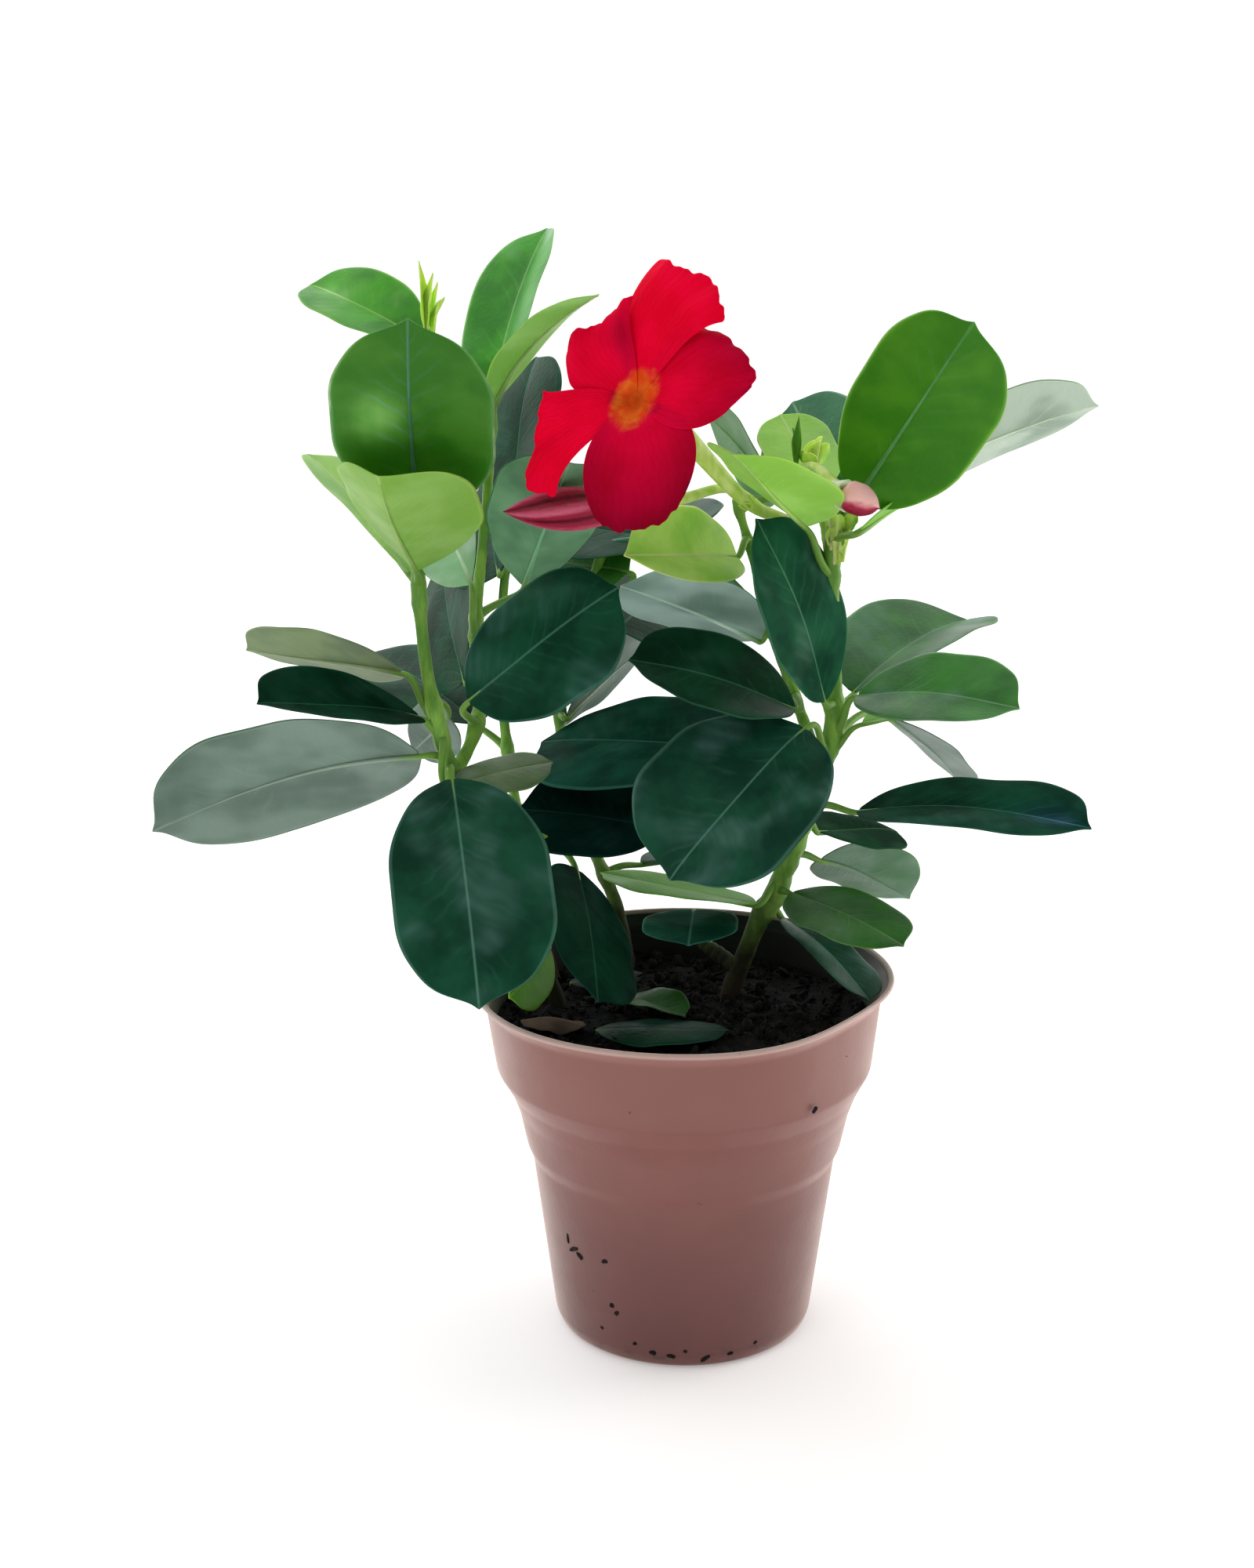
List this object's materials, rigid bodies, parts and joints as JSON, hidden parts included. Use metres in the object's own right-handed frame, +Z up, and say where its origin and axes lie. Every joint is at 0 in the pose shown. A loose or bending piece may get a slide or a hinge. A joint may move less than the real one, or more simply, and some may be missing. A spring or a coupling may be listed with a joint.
{
  "type": "potted mandevilla",
  "caption": "Young twining mandevilla with glossy oval leaves, a red trumpet flower, a furled flower and a bud, in a small tapered plastic pot of dark peat.",
  "frame": {"origin": "centre of the pot's base, on the surface that the pot stands on", "axes": "+Z up; the open flower's side faces -Y and +X is to its right as seen from there"},
  "size_m": [0.2668, 0.1678, 0.3082],
  "materials": {
    "pot_plastic": "satin, thin moulded, slightly translucent at the rim",
    "peat": "dark moist crumbly peat, matt",
    "stem_green": "smooth green stem, satin",
    "leaf_young": "young leaf, glossy, bright yellow-green",
    "leaf_fresh": "fresh leaf, glossy, mid green, paler below",
    "leaf_mature": "mature leaf, glossy, dark bluish green, grey-green below",
    "petal_red": "crimson petal, satin with a soft sheen",
    "petal_wine": "furled dark crimson petals, satin",
    "stalk_pale": "pale yellow-green stalk, satin",
    "bud_pink": "pink bud with a pale calyx, satin",
    "leaf_brown": "dry brown leaf, matt",
    "leaf_grey": "dry dark grey leaf, matt"
  },
  "bodies": {
    "root": {"pot": "pot_plastic", "soil": "peat", "stem_left": "stem_green", "stem_right": "stem_green", "shoot_middle": "leaf_mature", "shoot_back": "leaf_mature", "corolla": "petal_red", "flower_stalk": "stalk_pale", "bud_stalk": "stalk_pale", "furled_flower": "petal_wine", "bud": "bud_pink", "leaf_left_1": "leaf_fresh", "leaf_left_2": "leaf_fresh", "leaf_left_3": "leaf_fresh", "leaf_left_4": "leaf_young", "leaf_left_5": "leaf_young", "leaf_left_6": "leaf_young", "leaf_left_7": "leaf_fresh", "leaf_left_8": "leaf_mature", "leaf_left_9": "leaf_mature", "leaf_left_10": "leaf_fresh", "leaf_left_11": "leaf_mature", "leaf_left_12": "leaf_mature", "leaf_left_13": "leaf_fresh", "leaf_left_14": "leaf_mature", "leaf_left_15": "leaf_mature", "leaf_left_16": "leaf_young", "leaf_left_17": "leaf_fresh", "leaf_middle_1": "leaf_young", "leaf_middle_2": "leaf_mature", "leaf_middle_3": "leaf_mature", "leaf_middle_4": "leaf_fresh", "leaf_middle_5": "leaf_mature", "leaf_middle_6": "leaf_mature", "leaf_middle_7": "leaf_mature", "leaf_middle_8": "leaf_young", "leaf_middle_9": "leaf_mature", "leaf_right_1": "leaf_fresh", "leaf_right_2": "leaf_mature", "leaf_right_3": "leaf_mature", "leaf_right_4": "leaf_young", "leaf_right_5": "leaf_fresh", "leaf_right_6": "leaf_young", "leaf_right_7": "leaf_young", "leaf_right_8": "leaf_mature", "leaf_right_9": "leaf_fresh", "leaf_right_10": "leaf_fresh", "leaf_right_11": "leaf_fresh", "leaf_right_12": "leaf_mature", "leaf_right_13": "leaf_mature", "leaf_right_14": "leaf_fresh", "leaf_right_15": "leaf_fresh", "leaf_right_16": "leaf_mature", "leaf_right_17": "leaf_young", "fallen_leaf": "leaf_mature", "dead_leaf_brown": "leaf_brown", "dead_leaf_grey": "leaf_grey", "withered_leaf": "leaf_fresh"}
  },
  "joints": []
}
